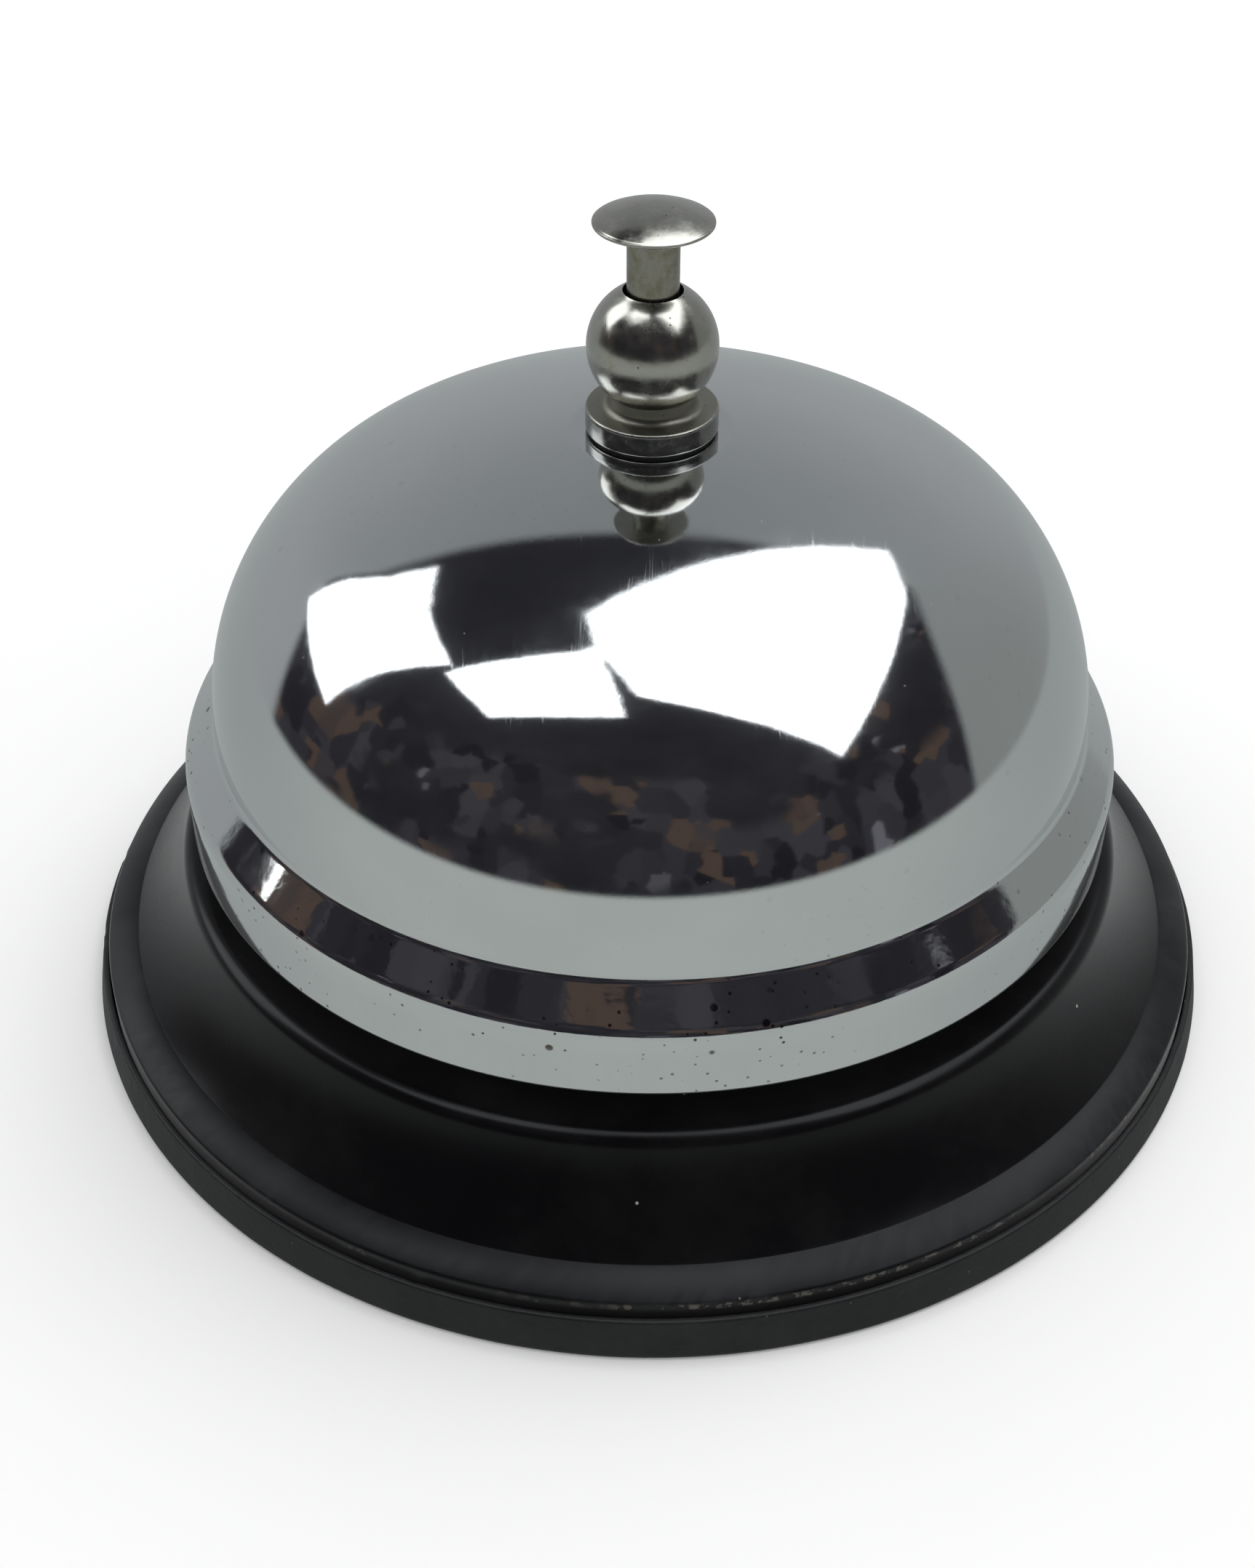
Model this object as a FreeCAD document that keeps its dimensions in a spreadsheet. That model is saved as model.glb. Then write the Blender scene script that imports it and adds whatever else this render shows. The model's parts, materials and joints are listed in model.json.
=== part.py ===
import FreeCAD, Part
import math
import os
import Sketcher

# Desk call bell: a gong on a pressed base, struck from inside by a hammer that a push button works.
# Millimetres. The origin is the centre of the underside, +Z is up, and the hammer swings in the
# plane of X and Z, towards +X.

DIMENSIONS = {
    # Rubber ring under the base: a channel that the rim of the pan stands in.
    "foot_outer_radius": 41.85,
    "foot_bottom_radius": 42.4,
    "foot_inner_radius": 38.6,
    "foot_height": 3.1,
    "foot_floor": 1.5,
    "foot_outer_lip": 0.45,
    "foot_inner_lip": 1.5,
    "foot_inner_height": 2.6,
    # Pressed pan: skirt, bevel, crest, hollow flare and flat top.
    "pan_rim_radius": 41.3,
    "pan_bevel_height": 4.2,
    "pan_crest_radius": 38.95,
    "pan_crest_height": 5.2,
    "pan_ridge_radius": 34.6,
    "pan_top_height": 12.3,
    "pan_flare_bend": 15.0,
    "pan_ridge_bend": 1.2,
    "pan_wall": 0.8,
    # Gong: skirt, shoulder, hollow below the dome, dome of two arcs, and a flat seat on top.
    "bell_wall": 1.0,
    "bell_rim_height": 15.1,
    "bell_shoulder_radius": 33.7,
    "bell_shoulder_bend": 1.6,
    "bell_hollow_bend": 1.0,
    "bell_shoulder_slope": 42.0,
    "bell_dome_radius": 31.32,
    "bell_side_bend": 18.0,
    "bell_crown_bend": 49.8,
    "bell_apex_height": 44.2,
    "bell_seat_height": 43.9,
    "bell_hole_radius": 2.5,
    "bell_rim_edge": 0.35,
    # Stack that holds the gong on the post.
    "collar_washer_radius": 4.2,
    "collar_washer_thickness": 0.2,
    "bell_fibre_radius": 5.0,
    "bell_fibre_thickness": 0.6,
    "bell_plate_radius": 5.6,
    "bell_plate_thickness": 0.6,
    "washer_hole_radius": 2.5,
    # Hexagon nuts, the same on the whole post.
    "nut_corner_radius": 4.62,
    "nut_thickness": 2.2,
    "nut_bevel": 0.45,
    # Finial nut: collar, neck and ball, bored for the rod.
    "collar_radius": 4.45,
    "collar_height": 1.6,
    "collar_edge": 0.18,
    "neck_radius": 2.95,
    "neck_bend": 0.55,
    "ball_radius": 4.35,
    "ball_centre_height": 50.0,
    "neck_top_height": 46.803,
    "finial_mouth_height": 53.888,
    "finial_bore_radius": 1.95,
    "finial_socket_radius": 2.42,
    "finial_socket_height": 49.6,
    # Hollow post.
    "post_radius": 2.4,
    "post_bore_radius": 1.9,
    "post_guide_radius": 0.98,
    "post_bottom_height": 28.8,
    "post_ledge_height": 30.0,
    "post_top_height": 49.3,
    "post_edge": 0.2,
    # Rod and button.
    "rod_radius": 1.71,
    "rod_thin_radius": 0.9,
    "rod_shoulder_height": 42.4,
    "rod_tip_height": 27.0,
    "rod_groove_radius": 0.62,
    "rod_spigot_radius": 0.9,
    "button_radius": 3.92,
    "button_rim_height": 58.6,
    "button_rim_edge": 0.22,
    "button_crown": 0.95,
    "button_under_hollow": 0.25,
    "button_spigot_depth": 0.55,
    "clip_radius": 2.1,
    "clip_thickness": 0.5,
    "clip_gap": 0.1,
    "clip_opening": 0.9,
    # Return spring between the ledge in the post and the shoulder of the rod.
    "spring_wire_radius": 0.17,
    "spring_coil_radius": 1.4,
    "spring_turns": 9.0,
    # Bracket: bent from one strip, with feet on the pan.
    "bracket_thickness": 1.2,
    "bracket_top_height": 33.0,
    "bracket_inner_half_width": 5.3,
    "bracket_length": 16.6,
    "bracket_centre": 2.3,
    "bracket_foot_reach": 13.4,
    "bracket_bend": 1.0,
    "bracket_corner": 2.0,
    "lock_washer_radius": 3.9,
    "lock_washer_thickness": 0.7,
    # Rivets that hold the bracket.
    "rivet_head_radius": 1.8,
    "rivet_head_height": 0.9,
    "rivet_shank_radius": 1.1,
    "rivet_tail_radius": 1.6,
    "rivet_tail_height": 0.7,
    "rivet_half_spacing": 5.2,
    "rivet_side_place": 10.2,
    # Hammer: pivot, lever, bush, striker.
    "pivot_place": 7.0,
    "pivot_height": 24.5,
    "pivot_pin_radius": 1.0,
    "pivot_head_radius": 1.7,
    "pivot_head_thickness": 0.8,
    "pivot_groove_radius": 0.7,
    "pivot_overhang": 1.3,
    "bush_bore_radius": 1.06,
    "bush_radius": 1.8,
    "bush_gap": 0.3,
    "lever_thickness": 1.6,
    "lever_boss_radius": 3.1,
    "lever_root_half_width": 2.4,
    "lever_end_radius": 1.7,
    "lever_arm_length": 19.05,
    "lever_arm_drop": 2.0,
    "lever_tilt": 14.5,
    "lever_pad_half_width": 2.2,
    "lever_pad_thickness": 1.1,
    "lever_pad_reach": 8.8,
    "lever_pad_root": 4.2,
    "striker_radius": 3.2,
    "striker_half_width": 3.0,
    "striker_edge": 0.8,
    "striker_slot_end": 1.8,
    "striker_rivet_radius": 0.9,
    "striker_rivet_head": 1.5,
    "striker_rivet_height": 0.5,
}

doc = FreeCAD.newDocument("call_bell")
sheet = doc.addObject("Spreadsheet::Sheet", "dims")
for row, (alias, amount) in enumerate(DIMENSIONS.items(), start=1):
    sheet.set(f"A{row}", alias)
    sheet.set(f"B{row}", str(amount))
    sheet.setAlias(f"B{row}", alias)
doc.recompute()

parts = {}


# Formulas: names from the sheet and numbers, with spaces round each of + - * /.

def linked(formula):
    """The formula with each name pointing at its cell."""
    words = formula.split()
    return " ".join("dims." + word if word in DIMENSIONS else word for word in words)


def value(formula):
    """The formula's value now, with products worked out before sums."""
    total, product, operator = 0.0, 1.0, "*"
    for word in formula.split():
        if word in ("+", "-"):
            total += product if operator is None else 0.0
            product, operator = (1.0 if word == "+" else -1.0), "*"
        elif word in ("*", "/"):
            operator = word
        else:
            amount = float(DIMENSIONS.get(word, word))
            product = product * amount if operator == "*" else product / amount
            operator = None
    return total + product


def bind(thing, **formulas):
    """Tie properties to the sheet; a double underscore in a name stands for a dot."""
    for name, formula in formulas.items():
        thing.setExpression(name.replace("__", "."), linked(formula))


def keep(node, thing):
    thing.Label = node
    parts[node] = thing
    return thing


# Sketches and the solids made from them.

def new_body(node):
    body = doc.addObject("PartDesign::Body", node)
    return keep(node, body)


def new_sketch(body, name, role):
    sketch = body.newObject("Sketcher::SketchObject", name)
    plane = next(item for item in body.Origin.OriginFeatures if item.Role == role)
    sketch.AttachmentSupport = [(plane, "")]
    sketch.MapMode = "FlatFace"
    return sketch


def constrain(sketch, formula, kind, *items):
    """Add a constraint whose size follows the formula; an angle is in degrees."""
    amount = value(formula)
    if kind == "Angle":
        amount = math.radians(amount)
    index = sketch.addConstraint(Sketcher.Constraint(kind, *items, amount))
    sketch.setExpression(f"Constraints[{index}]", linked(formula))


def place_point(sketch, edge, end, across, up):
    """Fix one end of an edge at a distance across and up from the sketch's origin."""
    for formula, kind, axis in ((across, "DistanceX", -2), (up, "DistanceY", -1)):
        if value(formula) == 0.0:
            sketch.addConstraint(Sketcher.Constraint("PointOnObject", edge, end, axis))
        else:
            constrain(sketch, formula, kind, -1, 1, edge, end)


def add_arc(sketch, start, end, radius, side):
    """Arc from start to end with its centre on one side; gives the edge and its start and end."""
    chord = end - start
    across = FreeCAD.Vector(-chord.y, chord.x, 0).normalize()
    reach = math.sqrt(radius ** 2 - (chord.Length / 2) ** 2)
    turn = 1 if side == "left" else -1
    centre = start + chord / 2 + across * reach * turn
    first, last = (start, end) if side == "left" else (end, start)
    angles = [math.atan2(point.y - centre.y, point.x - centre.x) for point in (first, last)]
    circle = Part.Circle(centre, FreeCAD.Vector(0, 0, 1), radius)
    edge = sketch.addGeometry(Part.ArcOfCircle(circle, *angles))
    return (edge, 1, 2) if side == "left" else (edge, 2, 1)


def radius_about_axis(start, end):
    """Radius of the arc through both points whose centre is on the sketch's vertical axis."""
    difference = end.x ** 2 + end.y ** 2 - start.x ** 2 - start.y ** 2
    centre = difference / (2 * (end.y - start.y))
    return math.hypot(start.x, start.y - centre)


def closed_sketch(body, name, role, corners):
    """Closed outline of lines and arcs.

    A corner is (across, up), or (across, up, bend, side) where an arc follows it. The bend
    "axis" stands for an arc whose centre is on the vertical axis, so its ends give its radius.
    """
    sketch = new_sketch(body, name, role)
    points = [FreeCAD.Vector(value(corner[0]), value(corner[1]), 0) for corner in corners]
    edges = []
    for index, corner in enumerate(corners):
        start, end = points[index], points[(index + 1) % len(points)]
        if len(corner) == 2:
            edges.append((sketch.addGeometry(Part.LineSegment(start, end)), 1, 2))
        else:
            about_axis = corner[2] == "axis"
            radius = radius_about_axis(start, end) if about_axis else value(corner[2])
            edges.append(add_arc(sketch, start, end, radius, corner[3]))
    for index, corner in enumerate(corners):
        edge, start, end = edges[index]
        following = edges[(index + 1) % len(edges)]
        sketch.addConstraint(Sketcher.Constraint("Coincident", edge, end, following[0], following[1]))
        place_point(sketch, edge, start, corner[0], corner[1])
        if len(corner) > 2 and corner[2] == "axis":
            sketch.addConstraint(Sketcher.Constraint("PointOnObject", edge, 3, -2))
        elif len(corner) > 2:
            constrain(sketch, corner[2], "Radius", edge)
    return sketch


def circle_sketch(body, name, role, across, up, radius):
    sketch = new_sketch(body, name, role)
    centre = FreeCAD.Vector(value(across), value(up), 0)
    edge = sketch.addGeometry(Part.Circle(centre, FreeCAD.Vector(0, 0, 1), value(radius)))
    place_point(sketch, edge, 3, across, up)
    constrain(sketch, radius, "Radius", edge)
    return sketch


def revolve(body, sketch, name="turned"):
    turned = body.newObject("PartDesign::Revolution", name)
    turned.Profile = sketch
    turned.ReferenceAxis = (sketch, ["V_Axis"])
    turned.Angle = 360
    return turned


def pad(body, sketch, thickness, name="plate"):
    """Plate of the sketch's shape, half of its thickness on each side of the sketch's plane."""
    plate = body.newObject("PartDesign::Pad", name)
    plate.Profile = sketch
    plate.Midplane = True
    bind(plate, Length=thickness)
    return plate


def cut_through(body, sketch, name="hole"):
    """Hole through the whole body, both ways from the sketch's plane."""
    doc.recompute()
    before = body.Shape.Volume
    hole = body.newObject("PartDesign::Pocket", name)
    hole.Profile = sketch
    hole.Type = "ThroughAll"
    hole.Midplane = True
    doc.recompute()
    if body.Shape.Volume >= before - 1e-6:
        raise RuntimeError(f"{body.Label}: {name} removes nothing")
    return hole


def turned_part(node, corners):
    """Part turned about the vertical axis from its outline of (radius, height) corners."""
    body = new_body(node)
    revolve(body, closed_sketch(body, node + "_outline", "XZ_Plane", corners))
    return body


def round_edges(body, radius, chosen, name="rounding", kind="PartDesign::Fillet"):
    """Round, or bevel, the edges of the body's last feature that chosen picks."""
    doc.recompute()
    base = body.Tip
    names = [f"Edge{number}" for number, edge in enumerate(base.Shape.Edges, start=1) if chosen(edge)]
    if not names:
        raise RuntimeError(f"{body.Label}: {name} finds no edge")
    feature = body.newObject(kind, name)
    feature.Base = (base, names)
    if kind == "PartDesign::Fillet":
        bind(feature, Radius=radius)
    else:
        bind(feature, Size=radius)
    doc.recompute()
    return feature


def ring_edge_at(radius, height):
    """Test for a round edge about the vertical axis with this radius and height."""
    def chosen(edge):
        curve = edge.Curve
        return (isinstance(curve, Part.Circle)
                and abs(curve.Radius - value(radius)) < 0.01
                and abs(curve.Center.z - value(height)) < 0.01)
    return chosen


def stand_at(thing, across=None, back=None, up=None):
    """Tie a part's place to the sheet."""
    for letter, formula in (("x", across), ("y", back), ("z", up)):
        if formula is not None:
            thing.setExpression(f"Placement.Base.{letter}", linked(formula))


def washer(node, outer, inner, bottom, thickness):
    """Flat ring about the vertical axis: a disc less a smaller one."""
    disc = doc.addObject("Part::Cylinder", node + "_disc")
    bind(disc, Radius=outer, Height=thickness)
    core = doc.addObject("Part::Cylinder", node + "_core")
    bind(core, Radius=inner, Height=thickness)
    ring = doc.addObject("Part::Cut", node)
    ring.Base, ring.Tool = disc, core
    stand_at(ring, up=bottom)
    return keep(node, ring)


def hexagon_nut(node, bottom):
    """Hexagon nut on the post, with its corners cut back by a cone at each end."""
    prism = doc.addObject("Part::Prism", node + "_hexagon")
    prism.Polygon = 6
    bind(prism, Circumradius="nut_corner_radius", Height="nut_thickness")
    corners = doc.addObject("Part::Cylinder", node + "_corners")
    bind(corners, Radius="nut_corner_radius", Height="nut_thickness")
    doc.recompute()
    bevelled = doc.addObject("Part::Chamfer", node + "_bevel")
    bevelled.Base = corners
    bevel = value("nut_bevel")
    ends = [number for number, edge in enumerate(corners.Shape.Edges, start=1)
            if isinstance(edge.Curve, Part.Circle)]
    bevelled.Edges = [(number, bevel, bevel) for number in ends]
    blank = doc.addObject("Part::Common", node + "_blank")
    blank.Base, blank.Tool = prism, bevelled
    bore = doc.addObject("Part::Cylinder", node + "_bore")
    bind(bore, Radius="post_radius", Height="nut_thickness")
    nut = doc.addObject("Part::Cut", node)
    nut.Base, nut.Tool = blank, bore
    stand_at(nut, up=bottom)
    return keep(node, nut)


# Base: rubber ring, pan, bracket and the rivets between them.

foot_ring = turned_part("foot_ring", [
    ("foot_inner_radius", "0"),
    ("foot_bottom_radius", "0"),
    ("foot_outer_radius", "foot_height"),
    ("foot_outer_radius - foot_outer_lip", "foot_height"),
    ("foot_outer_radius - foot_outer_lip", "foot_floor"),
    ("foot_inner_radius + foot_inner_lip", "foot_floor"),
    ("foot_inner_radius + foot_inner_lip", "foot_inner_height"),
    ("foot_inner_radius", "foot_inner_height"),
])

base_pan = new_body("base_pan")


def pan_sketch():
    """Half section of the pan's sheet: its outside, and its inside one wall away."""
    sketch = new_sketch(base_pan, "pan_outline", "XZ_Plane")
    outside = [
        ("pan_rim_radius", "foot_floor"),
        ("pan_rim_radius", "pan_bevel_height"),
        ("pan_crest_radius", "pan_crest_height"),
        ("pan_ridge_radius", "pan_top_height"),
        ("0", "pan_top_height"),
    ]
    bend, wall = value("pan_flare_bend"), value("pan_wall")
    outer = [FreeCAD.Vector(value(across), value(up), 0) for across, up in outside]
    inward = [(-wall, 0), (-wall, -wall / 2), (-wall / 2, -wall), (-wall, -wall), (0, -wall)]
    inner = [point + FreeCAD.Vector(*shift, 0) for point, shift in zip(outer, inward)]

    def line(start, end):
        return sketch.addGeometry(Part.LineSegment(start, end)), 1, 2

    def join(kind, *items):
        sketch.addConstraint(Sketcher.Constraint(kind, *items))

    sides = []
    for points, radius in ((outer, bend), (inner, bend + wall)):
        sides.append([
            line(points[0], points[1]),
            line(points[1], points[2]),
            add_arc(sketch, points[2], points[3], radius, "right"),
            line(points[3], points[4]),
        ])
    for chain in sides:
        for (edge, _, end), (following, start, _) in zip(chain, chain[1:]):
            join("Coincident", edge, end, following, start)
    rim, axis = line(outer[0], inner[0])[0], line(outer[4], inner[4])[0]
    for number, (skirt, _, _, top) in enumerate(sides, start=1):
        join("Coincident", rim, number, skirt[0], skirt[1])
        join("Coincident", axis, number, top[0], top[2])

    for (edge, start, _), corner in zip(sides[0], outside):
        place_point(sketch, edge, start, *corner)
    place_point(sketch, sides[0][3][0], 2, *outside[4])
    constrain(sketch, "pan_flare_bend", "Radius", sides[0][2][0])
    place_point(sketch, sides[1][0][0], 1, "pan_rim_radius - pan_wall", "foot_floor")
    place_point(sketch, sides[1][3][0], 2, "0", "pan_top_height - pan_wall")
    join("Vertical", sides[1][0][0])
    join("Parallel", sides[1][1][0], sides[0][1][0])
    constrain(sketch, "pan_wall", "Distance", sides[1][1][0], 1, sides[0][1][0])
    join("Coincident", sides[1][2][0], 3, sides[0][2][0], 3)
    constrain(sketch, "pan_flare_bend + pan_wall", "Radius", sides[1][2][0])
    join("Horizontal", sides[1][3][0])
    return sketch


revolve(base_pan, pan_sketch())
round_edges(base_pan, "pan_ridge_bend", ring_edge_at("pan_ridge_radius", "pan_top_height"), "ridge")

bracket = new_body("bracket")
LEG_OUTSIDE = "bracket_inner_half_width + bracket_thickness"
FOOT_TOP = "pan_top_height + bracket_thickness"
PLATE_UNDERSIDE = "bracket_top_height - bracket_thickness"
half_strip = [
    ("bracket_inner_half_width", PLATE_UNDERSIDE),
    ("bracket_inner_half_width", "pan_top_height"),
    ("bracket_foot_reach", "pan_top_height"),
    ("bracket_foot_reach", FOOT_TOP),
    (LEG_OUTSIDE, FOOT_TOP),
    (LEG_OUTSIDE, "bracket_top_height"),
]
other_half = [("- " + across.replace("+", "-"), up) for across, up in reversed(half_strip)]
strip = closed_sketch(bracket, "bracket_strip", "YZ_Plane", half_strip + other_half)
pad(bracket, strip, "bracket_length")
stand_at(bracket, across="bracket_centre")


def bend_at(across, up):
    """Test for an edge along X at this distance from the middle and this height."""
    def chosen(edge):
        box = edge.BoundBox
        return (box.XLength > 1 and box.YLength < 0.01 and box.ZLength < 0.01
                and abs(abs(box.YMin) - value(across)) < 0.01 and abs(box.ZMin - value(up)) < 0.01)
    return chosen


OUTER_BEND = "bracket_bend + bracket_thickness"
round_edges(bracket, OUTER_BEND, bend_at(LEG_OUTSIDE, "bracket_top_height"), "shoulder")
round_edges(bracket, "bracket_bend", bend_at("bracket_inner_half_width", PLATE_UNDERSIDE), "under_shoulder")
round_edges(bracket, OUTER_BEND, bend_at("bracket_inner_half_width", "pan_top_height"), "heel")
round_edges(bracket, "bracket_bend", bend_at(LEG_OUTSIDE, FOOT_TOP), "instep")
rivet_places = [(side, along) for side in ("-", "+") for along in ("-", "+")]
for number, (side, along) in enumerate(rivet_places, start=1):
    across = f"{along} rivet_half_spacing"
    back = f"{side} rivet_side_place"
    cut_through(bracket, circle_sketch(bracket, f"foot_hole_{number}_outline", "XY_Plane",
                                       across, back, "rivet_shank_radius"), f"foot_hole_{number}")
    cut_through(base_pan, circle_sketch(base_pan, f"rivet_hole_{number}_outline", "XY_Plane",
                                        f"bracket_centre {across}", back,
                                        "rivet_shank_radius"), f"rivet_hole_{number}")
cut_through(bracket, circle_sketch(bracket, "post_hole_outline", "XY_Plane",
                                   "- bracket_centre", "0", "post_radius"), "post_hole")
cut_through(bracket, circle_sketch(bracket, "pin_hole_outline", "XZ_Plane",
                                   "pivot_place - bracket_centre", "pivot_height",
                                   "pivot_pin_radius"), "pin_hole")
round_edges(bracket, "bracket_corner",
            lambda edge: edge.BoundBox.ZLength > 1 and edge.BoundBox.YLength < 0.01
            and abs(abs(edge.BoundBox.YMin) - value("bracket_foot_reach")) < 0.01, "foot_corners")

PAN_UNDERSIDE = "pan_top_height - pan_wall"
rivets = []
for number, (side, along) in enumerate(rivet_places, start=1):
    rivet = doc.addObject("PartDesign::Body", f"rivet_{number}")
    revolve(rivet, closed_sketch(rivet, f"rivet_{number}_outline", "XZ_Plane", [
        ("0", PAN_UNDERSIDE + " - rivet_tail_height"),
        ("rivet_tail_radius", PAN_UNDERSIDE + " - rivet_tail_height"),
        ("rivet_tail_radius", PAN_UNDERSIDE),
        ("rivet_shank_radius", PAN_UNDERSIDE),
        ("rivet_shank_radius", FOOT_TOP),
        ("rivet_head_radius", FOOT_TOP, "axis", "left"),
        ("0", FOOT_TOP + " + rivet_head_height"),
    ]))
    stand_at(rivet, f"bracket_centre {along} rivet_half_spacing", f"{side} rivet_side_place")
    rivets.append(rivet)
bracket_rivets = doc.addObject("Part::Compound", "bracket_rivets")
bracket_rivets.Links = rivets
keep("bracket_rivets", bracket_rivets)


# Gong: one sheet whose outside and inside are arcs about the same centres.

bell = new_body("bell")


def bell_side(sketch, wall):
    """One side of the gong's sheet from seat to rim; wall is the formula of its depth inside.

    Each arc is tangent to the edges before and after it. Gives the seat line and the skirt line.
    """
    depth = value(wall)
    slope = math.radians(value("bell_shoulder_slope"))
    seat = value("bell_seat_height") - depth
    crown, side = value("bell_crown_bend") - depth, value("bell_side_bend") - depth
    hollow, shoulder = value("bell_hollow_bend") + depth, value("bell_shoulder_bend") - depth
    dome, skirt = value("bell_dome_radius") - depth, value("bell_shoulder_radius") - depth
    crown_centre = FreeCAD.Vector(0, value("bell_apex_height - bell_crown_bend"), 0)
    rise = math.sqrt((crown - side) ** 2 - (dome - side) ** 2)
    side_centre = FreeCAD.Vector(dome - side, crown_centre.y + rise, 0)
    hollow_centre = FreeCAD.Vector(dome + hollow, side_centre.y, 0)
    run = skirt - dome - (hollow + shoulder) * (1 - math.cos(slope))
    across_ramp = FreeCAD.Vector(math.cos(slope), math.sin(slope), 0)
    along_ramp = FreeCAD.Vector(math.sin(slope), -math.cos(slope), 0)
    ramp_top = hollow_centre - across_ramp * hollow
    ramp_foot = ramp_top + along_ramp * (run / math.sin(slope))
    shoulder_centre = ramp_foot - across_ramp * shoulder
    seat_edge = FreeCAD.Vector(math.sqrt(crown ** 2 - (seat - crown_centre.y) ** 2), seat, 0)
    tilt = math.atan2(rise, dome - side)

    def line(start, end):
        return sketch.addGeometry(Part.LineSegment(start, end))

    def arc(centre, radius, first, last):
        circle = Part.Circle(centre, FreeCAD.Vector(0, 0, 1), radius)
        return sketch.addGeometry(Part.ArcOfCircle(circle, first, last))

    def join(kind, *items):
        sketch.addConstraint(Sketcher.Constraint(kind, *items))

    seat_line = line(FreeCAD.Vector(value("bell_hole_radius"), seat, 0), seat_edge)
    crown_arc = arc(crown_centre, crown, tilt, math.atan2(seat - crown_centre.y, seat_edge.x))
    side_arc = arc(side_centre, side, 0.0, tilt)
    hollow_arc = arc(hollow_centre, hollow, math.pi, math.pi + slope)
    ramp_line = line(ramp_top, ramp_foot)
    shoulder_arc = arc(shoulder_centre, shoulder, 0.0, slope)
    skirt_line = line(FreeCAD.Vector(skirt, shoulder_centre.y, 0),
                      FreeCAD.Vector(skirt, value("bell_rim_height"), 0))

    join("Horizontal", seat_line)
    join("Coincident", seat_line, 2, crown_arc, 2)
    join("Tangent", crown_arc, 1, side_arc, 2)
    join("Tangent", side_arc, 1, hollow_arc, 1)
    join("Tangent", hollow_arc, 2, ramp_line, 1)
    join("Tangent", ramp_line, 2, shoulder_arc, 2)
    join("Tangent", shoulder_arc, 1, skirt_line, 1)
    join("Vertical", skirt_line)
    join("PointOnObject", crown_arc, 3, -2)
    join("Horizontal", side_arc, 3, hollow_arc, 3)
    place_point(sketch, seat_line, 1, "bell_hole_radius", f"bell_seat_height - {wall}")
    place_point(sketch, skirt_line, 2, f"bell_shoulder_radius - {wall}", "bell_rim_height")
    constrain(sketch, "bell_apex_height - bell_crown_bend", "DistanceY", -1, 1, crown_arc, 3)
    constrain(sketch, "bell_dome_radius - bell_side_bend", "DistanceX", -1, 1, side_arc, 3)
    constrain(sketch, "bell_shoulder_slope - 90", "Angle", ramp_line)
    for edge, bend in ((crown_arc, f"bell_crown_bend - {wall}"),
                       (side_arc, f"bell_side_bend - {wall}"),
                       (hollow_arc, f"bell_hollow_bend + {wall}"),
                       (shoulder_arc, f"bell_shoulder_bend - {wall}")):
        constrain(sketch, bend, "Radius", edge)
    return seat_line, skirt_line


bell_section = new_sketch(bell, "bell_outline", "XZ_Plane")
outer_side = bell_side(bell_section, "0")
inner_side = bell_side(bell_section, "bell_wall")
for outer, inner, end in ((outer_side[0], inner_side[0], 1), (outer_side[1], inner_side[1], 2)):
    points = bell_section.getPoint(outer, end), bell_section.getPoint(inner, end)
    closing = bell_section.addGeometry(Part.LineSegment(*points))
    bell_section.addConstraint(Sketcher.Constraint("Coincident", closing, 1, outer, end))
    bell_section.addConstraint(Sketcher.Constraint("Coincident", closing, 2, inner, end))
revolve(bell, bell_section)
for radius, name in (("bell_shoulder_radius", "outer_rim"),
                     ("bell_shoulder_radius - bell_wall", "inner_rim")):
    round_edges(bell, "bell_rim_edge", ring_edge_at(radius, "bell_rim_height"), name)


# Stack on the post: nuts, washers, gong seat and finial.

BELL_UNDERSIDE = "bell_seat_height - bell_wall"
BELL_PLATE_BOTTOM = BELL_UNDERSIDE + " - bell_fibre_thickness - bell_plate_thickness"
COLLAR_BOTTOM = "bell_seat_height + collar_washer_thickness"
COLLAR_TOP = COLLAR_BOTTOM + " + collar_height"

turned_part("centre_post", [
    ("post_guide_radius", "post_bottom_height"),
    ("post_radius", "post_bottom_height"),
    ("post_radius", "post_top_height"),
    ("post_bore_radius", "post_top_height"),
    ("post_bore_radius", "post_ledge_height"),
    ("post_guide_radius", "post_ledge_height"),
])
round_edges(parts["centre_post"], "post_edge", ring_edge_at("post_radius", "post_bottom_height"),
            "lead", "PartDesign::Chamfer")

hexagon_nut("post_lower_nut", PLATE_UNDERSIDE + " - nut_thickness")
washer("post_lock_washer", "lock_washer_radius", "washer_hole_radius",
       "bracket_top_height", "lock_washer_thickness")
hexagon_nut("post_upper_nut", "bracket_top_height + lock_washer_thickness")
hexagon_nut("bell_support_nut", BELL_PLATE_BOTTOM + " - nut_thickness")
washer("bell_steel_washer", "bell_plate_radius", "washer_hole_radius",
       BELL_PLATE_BOTTOM, "bell_plate_thickness")
washer("bell_fibre_washer", "bell_fibre_radius", "washer_hole_radius",
       BELL_UNDERSIDE + " - bell_fibre_thickness", "bell_fibre_thickness")
washer("collar_washer", "collar_washer_radius", "washer_hole_radius",
       "bell_seat_height", "collar_washer_thickness")

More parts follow.
